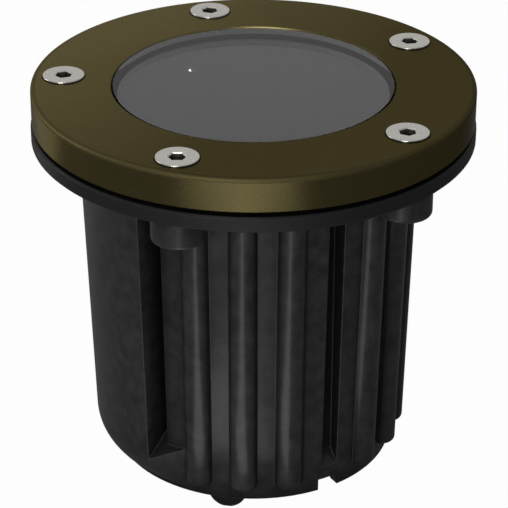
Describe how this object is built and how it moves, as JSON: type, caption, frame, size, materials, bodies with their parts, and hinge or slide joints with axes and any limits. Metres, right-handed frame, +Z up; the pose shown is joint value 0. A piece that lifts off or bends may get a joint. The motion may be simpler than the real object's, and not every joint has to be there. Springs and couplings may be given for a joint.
{
  "type": "in ground well light",
  "caption": "Round lamp housing sunk in the ground, with a ribbed body, a screwed bronze-coloured ring, thick stepped glass and a tilting lamp inside.",
  "frame": {"origin": "centre of the bounding box's footprint, at the level the feet stand on", "axes": "+Z up along the housing's axis, -Y towards the front as pictured"},
  "size_m": [0.1206, 0.1206, 0.1117],
  "materials": {
    "black_plastic": "satin, faintly mottled",
    "gland_plastic": "satin",
    "brass": "turned",
    "rubber": "matte",
    "steel": "turned",
    "sheet_steel": "pressed",
    "bronze_coat": "satin",
    "clear_glass": "polished",
    "frosted_plastic": "frosted",
    "block_plastic": "satin",
    "lamp_metal": "cast",
    "lamp_glass": "pressed",
    "pin_metal": "plated",
    "socket_plastic": "matte",
    "lead_sleeve": "matte"
  },
  "bodies": {
    "housing": {"housing": "black_plastic", "insert_nuts": "brass", "flange_gasket": "rubber", "retaining_ring": "steel", "gland_body": "gland_plastic", "gland_washer": "rubber", "gland_locknut": "gland_plastic", "gland_seal": "rubber"},
    "gland_nut": {"gland_nut": "gland_plastic"},
    "cover": {"trim_ring": "bronze_coat", "glass_lens": "clear_glass", "lens_gasket": "rubber", "lens_seal": "rubber", "diffuser": "frosted_plastic"},
    "screws": {"cover_screws": "steel"},
    "gimbal": {"gimbal_ring": "sheet_steel", "terminal_block": "block_plastic", "terminal_screws": "brass", "block_screw": "steel"},
    "lamp": {"lamp_cradle": "sheet_steel", "pivot_pins": "steel", "lamp_clip": "steel", "lamp_shell": "lamp_metal", "lamp_front": "lamp_glass", "lamp_pins": "pin_metal", "lamp_socket": "socket_plastic", "lamp_leads": "lead_sleeve"}
  },
  "joints": [
    {"name": "cover_lift", "type": "slide", "parent": "housing", "child": "cover", "axis": [0, 0, 1], "range_m": [0, 0.06]},
    {"name": "screws_out", "type": "slide", "parent": "cover", "child": "screws", "axis": [0, 0, 1], "range_m": [0, 0.02]},
    {"name": "gimbal_pan", "type": "hinge", "parent": "housing", "child": "gimbal", "pos_m": [0, 0, 0.0849], "axis": [0, 0, 1], "range_deg": [-175, 175]},
    {"name": "lamp_tilt", "type": "hinge", "parent": "gimbal", "child": "lamp", "pos_m": [0, 0, 0.0782], "axis": [1, 0, 0], "range_deg": [-15, 15], "deforming": ["lamp_leads"]},
    {"name": "gland_nut_turn", "type": "hinge", "parent": "housing", "child": "gland_nut", "pos_m": [-0.00746, 0.01185, 0.0109], "axis": [0, 0, 1], "continuous": true}
  ]
}
